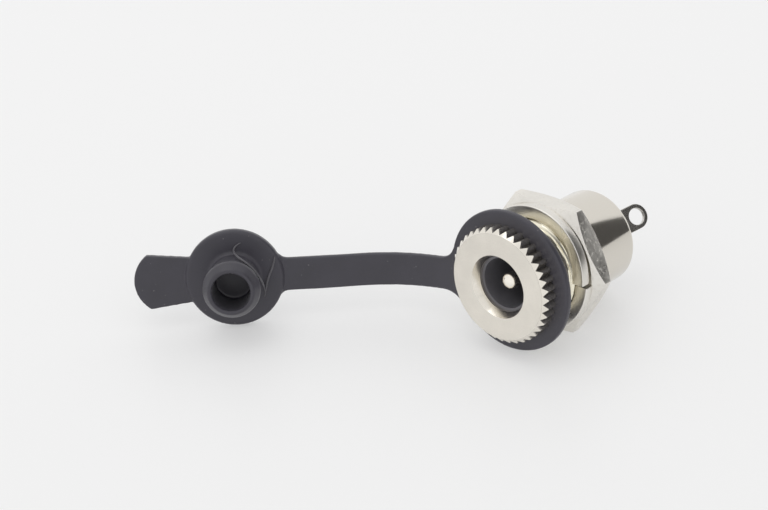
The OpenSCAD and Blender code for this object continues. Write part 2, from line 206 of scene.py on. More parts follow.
def add(tree, kind, values=None, **settings):
    """Adds a node, sets its settings, and sets or links its inputs by name or number."""
    made = tree.nodes.new(kind)
    for key, value in settings.items():
        setattr(made, key, value)
    for key, value in (values or {}).items():
        socket = made.inputs[key]
        if isinstance(value, bpy.types.NodeSocket):
            tree.links.new(value, socket)
        else:
            socket.default_value = value
    return made


def calc(tree, operation, *values):
    """A Math node of a shader or geometry tree; returns its output."""
    return add(tree, "ShaderNodeMath", dict(enumerate(values)), operation=operation).outputs[0]


def jack_coords(tree):
    """Three sets of coordinates: the piece's own, these turned so that Z runs along the jack's
    axis, and the distance from that axis with the place along it."""
    sizes = bpy.context.scene.jack_shell_sizes
    place = add(tree, "ShaderNodeTexCoord").outputs["Object"]
    turned = add(tree, "ShaderNodeMapping",
                 {"Vector": place, "Rotation": (math.radians(90) + sizes.tilt, 0, 0)})
    xyz = add(tree, "ShaderNodeSeparateXYZ", {0: turned.outputs[0]}).outputs
    square = calc(tree, "ADD", calc(tree, "POWER", xyz[0], 2.0), calc(tree, "POWER", xyz[1], 2.0))
    radius = calc(tree, "SQRT", square)
    rings = add(tree, "ShaderNodeCombineXYZ", {0: radius, 1: xyz[2]})
    return place, turned.outputs[0], rings.outputs[0]


def noise(tree, vector, scale, detail=3.0, roughness=0.55):
    return add(tree, "ShaderNodeTexNoise", {"Vector": vector, "Scale": scale, "Detail": detail,
                                            "Roughness": roughness}).outputs[0]


def span(tree, value, low, high, to_low, to_high):
    return add(tree, "ShaderNodeMapRange",
               {"Value": value, "From Min": low, "From Max": high,
                "To Min": to_low, "To Max": to_high}).outputs[0]


def mixed(tree, factor, first, second):
    """Blends two colours, each a socket or three numbers."""
    def full(c):
        return c if isinstance(c, bpy.types.NodeSocket) else (*c, 1.0)
    return add(tree, "ShaderNodeMix", {0: factor, 6: full(first), 7: full(second)},
               data_type="RGBA").outputs[2]


def shaded(colour, factor):
    return tuple(min(1.0, c * factor) for c in colour)


def new_material(name):
    material = bpy.data.materials.new(name)
    material.use_nodes = True
    tree = material.node_tree
    surface = tree.nodes["Principled BSDF"]
    return material, tree, surface


def wire(tree, surface, **values):
    for name, value in values.items():
        socket = surface.inputs[name.replace("_", " ")]
        if isinstance(value, bpy.types.NodeSocket):
            tree.links.new(value, socket)
        else:
            socket.default_value = value


def bump(tree, height, depth, strength, under=None):
    values = {"Height": height, "Distance": depth, "Strength": strength}
    if under is not None:
        values["Normal"] = under
    return add(tree, "ShaderNodeBump", values).outputs[0]


def clouded(tree, cloud, colour, dark, light):
    """A plating's colour, which drifts between two shades of it with the bloom."""
    return mixed(tree, span(tree, cloud, 0.35, 0.7, 0.0, 1.0),
                 shaded(colour, dark), shaded(colour, light))


def metal_detail(tree, turning, scratches):
    """Bloom, hairline scratches and the normal of plated metal; also its turned coordinates."""
    place, turned, rings = jack_coords(tree)
    groove = noise(tree, rings, 9000.0, 2.0)
    cloud = noise(tree, place, 320.0, 4.0)
    streaks = add(tree, "ShaderNodeMapping", {"Vector": turned, "Scale": (260.0, 3200.0, 900.0),
                                              "Rotation": (0.3, 0.5, 0.9)}).outputs[0]
    scratch = span(tree, noise(tree, streaks, 1.0, 5.0, 0.7), 0.62, 0.72, 0.0, 1.0)
    normal = bump(tree, scratch, 2e-6, scratches, bump(tree, groove, 3e-6, turning))
    return cloud, scratch, normal, turned, rings


def plated(name, colour, roughness, turning, scratches, scuffs=0.0):
    """Plated metal with turning rings, a faint bloom, hairline scratches and frosted scuffs."""
    material, tree, surface = new_material(name)
    cloud, scratch, normal, turned, _ = metal_detail(tree, turning, scratches)
    frost = span(tree, noise(tree, turned, 2600.0, 3.0, 0.7), 0.52, 0.66, 0.0, scuffs)
    bloom = span(tree, cloud, 0.3, 0.7, roughness * 0.8, roughness * 1.3)
    worn = calc(tree, "MAXIMUM", calc(tree, "MULTIPLY", scratch, 0.16), frost)
    wire(tree, surface, Base_Color=clouded(tree, cloud, colour, 0.93, 1.05), Metallic=1.0,
         Roughness=calc(tree, "ADD", bloom, worn), Normal=normal)
    return material


def zone(tree, value, low, high):
    """1 where value lies between two lengths, with a thin soft edge."""
    return calc(tree, "MULTIPLY", span(tree, value, low - HAIR, low, 0.0, 1.0),
                span(tree, value, high, high + HAIR, 1.0, 0.0))


def shell_plate(name, finish, sizes, face, seat, thread_end, far):
    """The shell's plating: satin face, painted shade in the knurl's valleys, warm thread and polished
    barrel.
    """
    material, tree, surface = new_material(name)
    cloud, scratch, normal, turned, rings = metal_detail(tree, turning=0.45, scratches=0.4)
    along = add(tree, "ShaderNodeSeparateXYZ", {0: turned}).outputs[2]
    radius = add(tree, "ShaderNodeSeparateXYZ", {0: rings}).outputs[0]
    # where each finish lies: the thread's zone runs from inside its root to just over its crest
    thread_inside, thread_outside = 5 * MM, 6.05 * MM
    valley_start = face + 0.42 * MM
    tip = sizes.head_d / 2
    foot = tip - sizes.tooth_depth
    on_face = zone(tree, along, face - MM, face + HAIR)
    in_thread = calc(tree, "MULTIPLY", zone(tree, along, seat, thread_end),
                     zone(tree, radius, thread_inside, thread_outside))
    on_barrel = zone(tree, along, thread_end, far)
    in_knurl = calc(tree, "MULTIPLY", zone(tree, along, valley_start, seat),
                    zone(tree, radius, foot - 0.03 * MM, tip + MM))
    # colours: nickel, with a mottled satin face, a slightly darker barrel and painted shade in the
    # valleys
    mottle = span(tree, noise(tree, turned, 7000.0, 2.0), 0.38, 0.68, 0.0, 0.25)
    # painted shade in the knurl's valleys: darkest at their root, fading out below the crest
    valley_shade = span(tree, radius, foot, tip - 0.3 * sizes.tooth_depth, 0.6, 0.0)
    base = clouded(tree, cloud, finish.nickel, 0.94, 1.04)
    base = mixed(tree, calc(tree, "MULTIPLY", on_face, mottle), base, shaded(finish.nickel, 0.80))
    base = mixed(tree, on_barrel, base, shaded(finish.nickel, 0.87))
    base = mixed(tree, calc(tree, "MULTIPLY", in_knurl, valley_shade), base, tuple(finish.valley_shade))
    base = mixed(tree, in_thread, base, tuple(finish.thread))
    rough = add(tree, "ShaderNodeMix", {0: on_face, 2: finish.nickel_rough, 3: finish.face_rough})
    rough = add(tree, "ShaderNodeMix", {0: on_barrel, 2: rough.outputs[0], 3: finish.barrel_rough})
    worn = calc(tree, "ADD", span(tree, cloud, 0.3, 0.7, 0.0, 0.04),
                calc(tree, "MULTIPLY", scratch, 0.10))
    wire(tree, surface, Base_Color=base, Metallic=1.0,
         Roughness=calc(tree, "ADD", rough.outputs[0], worn), Normal=normal)
    return material


def moulded_rubber(name, colour, dust_colour, roughness):
    """Matte moulded rubber with a fine bloom and pale specks of dust."""
    material, tree, surface = new_material(name)
    place = add(tree, "ShaderNodeTexCoord").outputs["Object"]
    cloud = noise(tree, place, 260.0, 4.0)
    grain = noise(tree, place, 6000.0, 3.0, 0.6)
    dust = span(tree, noise(tree, place, 2600.0, 2.0, 0.5), 0.73, 0.77, 0.0, 1.0)
    base = mixed(tree, span(tree, cloud, 0.3, 0.7, 0.0, 1.0),
                 shaded(colour, 0.88), shaded(colour, 1.14))
    wire(tree, surface,
         Base_Color=mixed(tree, calc(tree, "MULTIPLY", dust, 0.35), base, tuple(dust_colour)),
         Roughness=span(tree, cloud, 0.3, 0.7, roughness - 0.05, roughness + 0.08),
         Sheen_Weight=0.12, Sheen_Roughness=0.35,
         Normal=bump(tree, grain, 6e-6, 0.5, bump(tree, cloud, 4e-5, 0.3)))
    return material


def plain_plastic(name, colour, roughness, grain_depth):
    """Moulded or punched insulator with a fine grain."""
    material, tree, surface = new_material(name)
    place = add(tree, "ShaderNodeTexCoord").outputs["Object"]
    grain = noise(tree, place, 4500.0, 4.0)
    cloud = noise(tree, place, 500.0, 3.0)
    wire(tree, surface,
         Base_Color=mixed(tree, cloud, shaded(colour, 0.7), shaded(colour, 1.4)),
         Roughness=span(tree, cloud, 0.3, 0.7, roughness - 0.06, roughness + 0.08),
         Normal=bump(tree, grain, grain_depth, 0.6))
    return material


# ---------------------------------------------------------------- shape helpers

def jack_turn():
    """Turns shapes drawn about Z, rear upward, into the lying jack."""
    tilt = bpy.context.scene.jack_shell_sizes.tilt
    return Matrix.Rotation(-tilt, 4, "X") @ Matrix.Rotation(math.radians(-90), 4, "X")


def rounded_path(corners, steps):
    """Corners are (x, z, radius); each corner with a radius becomes an arc."""
    out = []
    last = len(corners) - 1
    for i, (x, z, r) in enumerate(corners):
        here = Vector((x, z))
        if r <= 0 or i in (0, last):
            out.append(here)
            continue
        back = (Vector(corners[i - 1][:2]) - here).normalized()
        on = (Vector(corners[i + 1][:2]) - here).normalized()
        half = back.angle(on) / 2
        reach = r / math.tan(half)
        centre = here + (back + on).normalized() * (r / math.sin(half))
        start, end = here + back * reach - centre, here + on * reach - centre
        sweep = start.angle_signed(end)
        for k in range(steps + 1):
            turned = Matrix.Rotation(-sweep * k / steps, 2) @ start
            out.append(centre + turned)
    return out


def lathe(bm, path, steps, first=0.0):
    """Spins a path of (radius, z) about Z; a point on the axis becomes one vertex."""
    rings = []
    for p in path:
        if p[0] < WELD / 100:
            rings.append([bm.verts.new((0, 0, p[1]))])
            continue
        rings.append([bm.verts.new((p[0] * math.cos(a), p[0] * math.sin(a), p[1]))
                      for a in (first + 2 * math.pi * k / steps for k in range(steps))])
    for a, b in zip(rings, rings[1:]):
        for k in range(steps):
            m = (k + 1) % steps
            face = [a[k % len(a)], a[m % len(a)], b[m % len(b)], b[k % len(b)]]
            face = list(dict.fromkeys(face))
            if len(face) > 2:
                bm.faces.new(face)


def loft(bm, rings, close_ends=True):
    """Joins outlines of equal count into a tube, and closes its ends."""
    made = [[bm.verts.new(p) for p in ring] for ring in rings]
    n = len(made[0])
    for a, b in zip(made, made[1:]):
        for k in range(n):
            bm.faces.new((a[k], a[(k + 1) % n], b[(k + 1) % n], b[k]))
    if close_ends:
        bm.faces.new(list(reversed(made[0])))
        bm.faces.new(made[-1])


def to_object(bm, name, place=None, angle=32):
    bmesh.ops.remove_doubles(bm, verts=bm.verts, dist=WELD)
    bmesh.ops.recalc_face_normals(bm, faces=bm.faces)
    mesh = bpy.data.meshes.new(name)
    bm.to_mesh(mesh)
    bm.free()
    if place is not None:
        mesh.transform(place)
    mesh.shade_smooth()
    mesh.set_sharp_from_angle(angle=math.radians(angle))
    made = bpy.data.objects.new(name, mesh)
    bpy.context.scene.collection.objects.link(made)
    return made


def settled(source, name, angle=32):
    """Turns an object with live modifiers into a plain mesh object and drops the source."""
    graph = bpy.context.evaluated_depsgraph_get()
    mesh = bpy.data.meshes.new_from_object(source.evaluated_get(graph))
    bm = bmesh.new()
    bm.from_mesh(mesh)
    bmesh.ops.recalc_face_normals(bm, faces=bm.faces)
    bm.to_mesh(mesh)
    bm.free()
    mesh.shade_smooth()
    mesh.set_sharp_from_angle(angle=math.radians(angle))
    bpy.data.objects.remove(source)
    made = bpy.data.objects.new(name, mesh)
    mesh.name = name
    bpy.context.scene.collection.objects.link(made)
    return made


def solid_copy(node, name):
    """A merged copy of a CAD node's mesh, to work on."""
    bm = bmesh.new()
    bm.from_mesh(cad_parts[node].data)
    bmesh.ops.remove_doubles(bm, verts=bm.verts, dist=10 * WELD)
    bmesh.ops.dissolve_limit(bm, angle_limit=math.radians(1), verts=bm.verts, edges=bm.edges)
    return to_object(bm, name)


def dress(piece, material, slot, *nodes):
    """Gives a finished piece its material and body, and hides the CAD nodes it stands for; the slot is
    not used.
    """
    piece.data.materials.clear()
    piece.data.materials.append(material)
    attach(piece, BODY)
    if nodes:
        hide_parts(*nodes)


def new_group(name, inputs):
    """A geometry tree with named inputs after its Geometry; returns it and its two end nodes."""
    tree = bpy.data.node_groups.new(name, "GeometryNodeTree")
    tree.interface.new_socket("Geometry", in_out="INPUT", socket_type="NodeSocketGeometry")
    for label, kind in inputs:
        tree.interface.new_socket(label, in_out="INPUT", socket_type=kind)
    tree.interface.new_socket("Geometry", in_out="OUTPUT", socket_type="NodeSocketGeometry")
    return tree, tree.nodes.new("NodeGroupInput"), tree.nodes.new("NodeGroupOutput")


def run_group(holder, tree, values):
    """Puts a geometry tree on an object and sets its inputs by their identifiers."""
    modifier = holder.modifiers.new(tree.name, "NODES")
    modifier.node_group = tree
    for item in tree.interface.items_tree:
        if item.item_type == "SOCKET" and item.in_out == "INPUT" and item.name in values:
            modifier[item.identifier] = values[item.name]


# ---------------------------------------------------------------- shell

def knurl_group():
    """Repeats one tooth sector round the axis and joins it to the turned body and the thread."""
    tree, start, end = new_group("Knurl", [
        ("Tooth", "NodeSocketObject"), ("Thread", "NodeSocketObject"), ("Teeth", "NodeSocketInt"),
        ("First tooth", "NodeSocketFloat"), ("Material", "NodeSocketMaterial")])
    given = start.outputs
    ring = add(tree, "GeometryNodeMeshLine",
               {"Count": given["Teeth"], "Offset": (0.0, 0.0, 0.0)}).outputs[0]
    tooth = add(tree, "GeometryNodeObjectInfo", {"Object": given["Tooth"]}).outputs["Geometry"]
    thread = add(tree, "GeometryNodeObjectInfo", {"Object": given["Thread"]}).outputs["Geometry"]
    step = calc(tree, "DIVIDE", 2 * math.pi, given["Teeth"])
    index = add(tree, "GeometryNodeInputIndex").outputs[0]
    turned = calc(tree, "ADD", calc(tree, "MULTIPLY", index, step), given["First tooth"])
    angles = add(tree, "ShaderNodeCombineXYZ", {2: turned}).outputs[0]
    teeth = add(tree, "GeometryNodeInstanceOnPoints",
                {"Points": ring, "Instance": tooth, "Rotation": angles}).outputs[0]
    joined = add(tree, "GeometryNodeJoinGeometry")
    for part in (given["Geometry"], teeth, thread):
        tree.links.new(part, joined.inputs[0])
    real = add(tree, "GeometryNodeRealizeInstances", {0: joined.outputs[0]}).outputs[0]
    merged = add(tree, "GeometryNodeMergeByDistance",
                 {"Geometry": real, "Distance": 2 * WELD}).outputs[0]
    last = add(tree, "GeometryNodeSetMaterial", {"Geometry": merged, "Material": given["Material"]})
    tree.links.new(last.outputs[0], end.inputs[0])
    return tree


def thread_group():
    """Wraps a flat grid into a threaded sleeve whose ridge climbs one pitch a turn."""
    names = ("Pitch", "Root radius", "Crest radius", "Start", "End")
    tree, start, end = new_group("Thread", [(n, "NodeSocketFloat") for n in names]
                                 + [("Around", "NodeSocketInt"), ("Along", "NodeSocketInt"),
                                    ("Material", "NodeSocketMaterial")])
    given = start.outputs
    grid = add(tree, "GeometryNodeMeshGrid",
               {"Size X": 1.0, "Size Y": 1.0, "Vertices X": given["Around"],
                "Vertices Y": given["Along"]}).outputs[0]
    place = add(tree, "GeometryNodeInputPosition").outputs[0]
    xyz = add(tree, "ShaderNodeSeparateXYZ", {0: place}).outputs
    around = calc(tree, "ADD", xyz[0], 0.5)
    length_on = calc(tree, "SUBTRACT", given["End"], given["Start"])
    along = calc(tree, "ADD", calc(tree, "MULTIPLY", calc(tree, "ADD", xyz[1], 0.5), length_on),
                 given["Start"])
    turns = calc(tree, "DIVIDE", along, given["Pitch"])
    phase = calc(tree, "FRACT", calc(tree, "SUBTRACT", turns, around))
    ridge = calc(tree, "ABSOLUTE", calc(tree, "SUBTRACT", calc(tree, "MULTIPLY", phase, 2.0), 1.0))
    flat = span(tree, ridge, 0.12, 0.88, 0.0, 1.0)
    depth = calc(tree, "SUBTRACT", given["Crest radius"], given["Root radius"])
    left = calc(tree, "MINIMUM", calc(tree, "SUBTRACT", given["End"], along),
                calc(tree, "SUBTRACT", along, given["Start"]))
    fade = calc(tree, "MINIMUM", calc(tree, "DIVIDE", left, depth), 1.0)
    radius = calc(tree, "ADD", given["Root radius"],
                  calc(tree, "MULTIPLY", calc(tree, "MULTIPLY", flat, depth), fade))
    angle = calc(tree, "MULTIPLY", around, 2 * math.pi)
    moved = add(tree, "ShaderNodeCombineXYZ",
                {0: calc(tree, "MULTIPLY", radius, calc(tree, "COSINE", angle)),
                 1: calc(tree, "MULTIPLY", radius, calc(tree, "SINE", angle)), 2: along}).outputs[0]
    sleeve = add(tree, "GeometryNodeSetPosition", {"Geometry": grid, "Position": moved}).outputs[0]
    real = add(tree, "GeometryNodeRealizeInstances", {0: sleeve}).outputs[0]
    merged = add(tree, "GeometryNodeMergeByDistance",
                 {"Geometry": real, "Distance": WELD}).outputs[0]
    last = add(tree, "GeometryNodeSetMaterial", {"Geometry": merged, "Material": given["Material"]})
    tree.links.new(last.outputs[0], end.inputs[0])
    return tree


def tooth_sector(sizes, face, seat, inner):
    """One tooth of the knurl with half a valley to each side, cut by the head's bevels."""
    tip, depth = sizes.head_d / 2, sizes.tooth_depth
    front = tip - sizes.head_bevel
    front_break, back_break = 0.03 * MM, sizes.fine_edge
    pitch = 2 * math.pi / sizes.tooth_count
    # columns of vertices, as shares of the pitch: closer together at the crest and in the valley
    half = (0.04, 0.07, 1 / 6, 1 / 3, 0.42, 0.47, 0.5)
    shares = (*(-t for t in reversed(half)), 0, *half)
    crest, flank = 0.1, 0.84  # shares of the half pitch
    shared = [k for k, t in enumerate(shares) if abs(t * TOOTH_STEPS - round(t * TOOTH_STEPS)) < 1e-6]
    columns = []
    for t in shares:
        valley = min(1.0, max(0.0, (abs(t) * 2 - crest) / flank))
        r = tip - depth * valley
        near = face + max(0.0, r - front)
        far = seat - max(0.0, r - tip + back_break)
        edge = min(r, front)
        rear = min(r, tip - back_break)
        columns.append([(math.cos(t * pitch) * q, math.sin(t * pitch) * q, z) for q, z in (
            (edge - front_break, face), (edge, face + HAIR / 2), (r, near + HAIR),
            (r, (near + far) / 2), (r, far), (rear, seat))])
    bm = bmesh.new()
    made = [[bm.verts.new(p) for p in column] for column in columns]
    for a, b in zip(made, made[1:]):
        for k in range(len(a) - 1):
            bm.faces.new((a[k], b[k], b[k + 1], a[k + 1]))
    # the flat parts reach in to the turned body's own vertices
    for row, z in ((0, face), (-1, seat)):
        ring = [bm.verts.new((math.cos(a) * inner, math.sin(a) * inner, z))
                for a in (shares[k] * pitch for k in shared)]
        for n, (k, m) in enumerate(zip(shared, shared[1:])):
            flat = [ring[n], ring[n + 1]] + [made[c][row] for c in range(m, k - 1, -1)]
            bm.faces.new(flat if row == 0 else list(reversed(flat)))
    return to_object(bm, "tooth_sector")


class JACK_OT_shell(bpy.types.Operator):
    """Turned shell: countersunk knurled head, threaded barrel and rolled rear rim"""

    bl_idname = "jack.shell"
    bl_label = "Turned shell"

    def execute(self, context):
        s = context.scene.jack_shell_sizes
        finish = context.scene.jack_finishes
        seat = -s.seat
        face = seat - s.head_l
        rear = face + s.shell_l
        housing = face + s.mouth_depth + s.throat_l
        thread_end = seat + s.thread_l
        inner = s.head_d / 2 - s.tooth_depth - s.tooth_foot
        root = s.thread_root_d / 2
        steps = s.tooth_count * TOOTH_STEPS
        profile = rounded_path([
            (inner, face, 0), (s.mouth_d / 2, face, s.mouth_round),
            (s.throat_d / 2, face + s.mouth_depth, s.throat_round),
            (s.throat_d / 2, housing, s.throat_end_round),
            (s.bore_d / 2, housing, 0), (s.bore_d / 2, rear - s.lip_t, 0),
            (s.lip_d / 2, rear - s.lip_t, 0), (s.lip_d / 2, rear, s.lip_round),
            (s.barrel_d / 2, rear, s.rim_round), (s.barrel_d / 2, thread_end, s.barrel_round),
            (root, thread_end - HAIR, 0)], steps=7)
        bm = bmesh.new()
        lathe(bm, profile, steps, s.tooth_turn)
        lathe(bm, [(root, seat), (inner, seat)], steps, s.tooth_turn)
        body = to_object(bm, "turned_body")
        metal = shell_plate("nickel_plate", finish, s, face, seat, thread_end, rear + MM)
        sleeve = bpy.data.objects.new("sleeve", bpy.data.meshes.new("sleeve"))
        context.scene.collection.objects.link(sleeve)
        run_group(sleeve, thread_group(), {
            "Pitch": s.thread_pitch, "Root radius": root, "Crest radius": s.thread_crest_d / 2,
            "Start": seat, "End": thread_end - HAIR, "Around": steps + 1, "Along": THREAD_ROWS,
            "Material": metal})
        sleeve = settled(sleeve, "thread_sleeve")
        sleeve.data.transform(Matrix.Rotation(s.tooth_turn, 4, "Z"))
        tooth = tooth_sector(s, face, seat, inner)
        run_group(body, knurl_group(), {
            "Tooth": tooth, "Thread": sleeve, "Teeth": s.tooth_count,
            "First tooth": s.tooth_turn, "Material": metal})
        shell = settled(body, "jack_shell", angle=25)
        for part in (tooth, sleeve):
            bpy.data.objects.remove(part)
        shell.data.transform(jack_turn())
        dress(shell, metal, "nickel", "shell")
        return {"FINISHED"}


class JACK_OT_pin(bpy.types.Operator):
    """Centre pin with its domed tip"""

    bl_idname = "jack.pin"
    bl_label = "Centre pin"

    def execute(self, context):
        s = context.scene.jack_shell_sizes
        finish = context.scene.jack_finishes
        face = -s.seat - s.head_l
        tip = face + s.pin_set_back
        floor = face + s.mouth_depth + s.throat_l + s.cavity_l
        behind = floor + s.housing_wall + s.strip_t
        end = behind + s.rivet_t
        r, tail, rivet = s.pin_d / 2, s.tail_d / 2, s.rivet_d / 2
        arcs = 16
        dome = [(r * math.sin(a), tip + s.pin_dome * (1 - math.cos(a)))
                for a in (math.pi / 2 * k / arcs for k in range(arcs + 1))]
        dome[0] = (0.0, tip)
        bm = bmesh.new()
        lathe(bm, dome + [(r, floor), (tail, floor), (tail, behind), (rivet, behind),
                          (rivet, end - s.rivet_bevel), (rivet - s.rivet_bevel, end), (0.0, end)],
              steps=64)
        pin = to_object(bm, "contact_pin", jack_turn(), angle=40)
        metal = plated("pin_plate", shaded(finish.nickel, 1.12), 0.16, turning=0.15, scratches=0.1)
        dress(pin, metal, "nickel", "centre_pin")
        return {"FINISHED"}


# ---------------------------------------------------------------- nut and washer

def hexagon(across, corner_round, corner_steps=10, flat_steps=24):
    """Outline of a hexagon with rounded corners, as (x, y) points with corners on X."""
    flat = across / 2
    core = (flat - corner_round) / math.cos(math.pi / 6)
    out = []
    for side in range(6):
        middle = side * math.pi / 3
        centre = core * Vector((math.cos(middle), math.sin(middle)))
        for k in range(corner_steps + 1):
            a = middle - math.pi / 6 + math.pi / 3 * k / corner_steps
            out.append(centre + corner_round * Vector((math.cos(a), math.sin(a))))
        following = middle + math.pi / 3
        here = out[-1]
        there = core * Vector((math.cos(following), math.sin(following)))
        a = following - math.pi / 6
        there = there + corner_round * Vector((math.cos(a), math.sin(a)))
        out += [here.lerp(there, k / flat_steps) for k in range(1, flat_steps)]
    return out


class JACK_OT_nut(bpy.types.Operator):
    """Hex nut with bevelled corners and a countersunk bore"""

    bl_idname = "jack.nut"
    bl_label = "Hex nut"

    def execute(self, context):
        s = context.scene.jack_fastener_sizes
        outline = hexagon(s.nut_af, s.nut_corner)
        face_r, soft = s.nut_face_d / 2, s.edge_round
        rise = math.tan(s.nut_bevel)
        bore, lead = s.nut_bore_d / 2, s.nut_lead

        def place(p, r, z):
            """The point of the outline moved to a distance from the axis and a height."""
            d = p.normalized()
            return Vector((d.x * r, d.y * r, z))

        def drop(p):
            """How far the corner bevel has fallen at a point of the outline."""
            return max(0.0, p.length - face_r) * rise

        def rim(p):
            """Where the flat face ends on the way to a point of the outline."""
            return min(face_r, p.length)

        half = s.nut_l / 2
        lead_round = 0.06 * MM
        # steps of the face's edge and of the flat's edge, as shares of the rounding
        face_in, face_down, edge_down = 0.4 * soft, 0.04 * soft, 0.3 * soft
        flat_in, flat_down = 0.05 * soft, 0.45 * soft
        upper = [
            lambda p: place(p, bore, half - lead),
            lambda p: place(p, bore + lead, half - HAIR),
            lambda p: place(p, bore + lead + lead_round, half),
            lambda p: place(p, rim(p) - soft, half),
            lambda p: place(p, rim(p) - face_in, half - face_down),
            lambda p: place(p, rim(p), half - edge_down),
            lambda p: place(p, max(rim(p), p.length - soft),
                            half - edge_down - max(0.0, p.length - soft - face_r) * rise),
            lambda p: place(p, p.length - flat_in, half - flat_down - drop(p)),
            lambda p: place(p, p.length, half - soft - drop(p)),
        ]
        lower = [(lambda f: lambda p: Vector((f(p).x, f(p).y, -f(p).z)))(f) for f in reversed(upper)]
        rings = [[at(p) for p in outline] for at in upper + lower]
        rings.append(rings[0])
        bm = bmesh.new()
        loft(bm, rings, close_ends=False)
        shift = Matrix.Translation((0, 0, s.nut_z + half))
        nut = to_object(bm, "hexagon_nut", jack_turn() @ shift, angle=24)
        finish = context.scene.jack_finishes
        steel = plated("plated_steel_nut", finish.steel, finish.nut_rough,
                       turning=0.12, scratches=1.0, scuffs=0.3)
        dress(nut, steel, "nickel_steel", "hex_nut")
        return {"FINISHED"}


class JACK_OT_washer(bpy.types.Operator):
    """Split spring washer whose free end stands off the nut"""

    bl_idname = "jack.washer"
    bl_label = "Split washer"

    def execute(self, context):
        s = context.scene.jack_fastener_sizes
        soft = s.edge_round * 1.4
        inner, outer = s.washer_bore_d / 2, s.washer_d / 2
        corners = [(inner, -s.washer_t), (outer, -s.washer_t), (outer, 0.0), (inner, 0.0)]
        middle = Vector(((inner + outer) / 2, -s.washer_t / 2))
        section = []
        for i, (x, z) in enumerate(corners):
            start = math.pi + i * math.pi / 2
            centre = Vector((x + math.copysign(soft, middle.x - x),
                             z + math.copysign(soft, middle.y - z)))
            section += [centre + soft * Vector((math.cos(a), math.sin(a)))
                        for a in (start + math.pi / 2 * k / 5 for k in range(6))]
        steps = 240
        whole = 2 * math.pi - s.washer_slot
        stations = [0.0, 0.0008, 0.002] + [k / steps for k in range(1, steps)] + [0.998, 0.9992, 1.0]
        # shrinks the section at the split, to soften the edges of the cut ends
        pinches = {0.0: 0.93, 0.0008: 0.985, 0.9992: 0.985, 1.0: 0.93}
        rings = []
        for share_on in stations:
            a = share_on * whole
            left = 1 - min(1.0, a / s.washer_rise)
            lift = s.washer_lift * left * left
            pinch = pinches.get(share_on, 1.0)
            turned = -(s.washer_split + s.washer_slot / 2 + a)
            ring = [middle + (p - middle) * pinch for p in section]
            rings.append([Vector((p.x * math.cos(turned), p.x * math.sin(turned),
                                  s.nut_z + p.y - lift)) for p in ring])
        bm = bmesh.new()
        loft(bm, rings)
        washer = to_object(bm, "split_washer", jack_turn(), angle=30)
        steel = plated("plated_steel_washer", context.scene.jack_finishes.steel, 0.30,
                       turning=1.0, scratches=0.5)
        dress(washer, steel, "nickel_steel", "lock_washer")
        return {"FINISHED"}


# ---------------------------------------------------------------- contacts, insulators, cap

class JACK_OT_contacts(bpy.types.Operator):
    """Stamped solder lugs with softly rolled edges"""

    bl_idname = "jack.contacts"
    bl_label = "Solder lugs"

    def execute(self, context):
        metal = plated("tinned_contact", context.scene.jack_finishes.contact, 0.24,
                       turning=0.1, scratches=0.7)
        for node, name in (("sleeve_contact", "sleeve_lug"), ("pin_lug", "pin_lug_strip")):
            strip = solid_copy(node, name)
            edge = strip.modifiers.new("edge", "BEVEL")
            edge.width, edge.segments = context.scene.jack_shell_sizes.strip_round, 2
            edge.limit_method, edge.angle_limit = "ANGLE", math.radians(50)
            strip = settled(strip, name, angle=40)
            dress(strip, metal, "contact", node)
        return {"FINISHED"}


class JACK_OT_insulators(bpy.types.Operator):
    """Black plastic housing and the insulating disc at the rear"""

    bl_idname = "jack.insulators"
    bl_label = "Insulators"

    def execute(self, context):
        finish = context.scene.jack_finishes
        for node, name, colour, roughness, grain_depth in (
                ("housing", "black_plastic", finish.plastic, 0.35, 0.004 * MM),
                ("rear_disc", "fibre_disc", finish.fibre, 0.6, 0.01 * MM)):
            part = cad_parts[node]
            part.data.materials.clear()
            part.data.materials.append(plain_plastic(name, colour, roughness, grain_depth))
        return {"FINISHED"}


class JACK_OT_cap(bpy.types.Operator):
    """Soft rubber cap: sealing ring, strap, disc, hollow plug and pull tab in one moulding"""

    bl_idname = "jack.cap"
    bl_label = "Dust cap"

    def execute(self, context):
        finish = context.scene.jack_finishes
        cap = solid_copy("dust_cap", "cap_core")
        # in millimetres while the skin is made, and scaled back after it
        cap.data.transform(Matrix.Scale(1 / MM, 4))
        skin = cap.modifiers.new("skin", "REMESH")
        skin.mode, skin.adaptivity = "VOXEL", 0.0
        skin.voxel_size = context.scene.jack_cap_sizes.skin / MM
        ease = cap.modifiers.new("ease", "SMOOTH")
        ease.factor, ease.iterations = 0.5, 5
        cap = settled(cap, "rubber_cap", angle=180)
        cap.data.transform(Matrix.Scale(MM, 4))
        material = moulded_rubber("dark_rubber", finish.rubber, finish.dust, finish.rubber_rough)
        dress(cap, material, "rubber", "dust_cap")
        return {"FINISHED"}


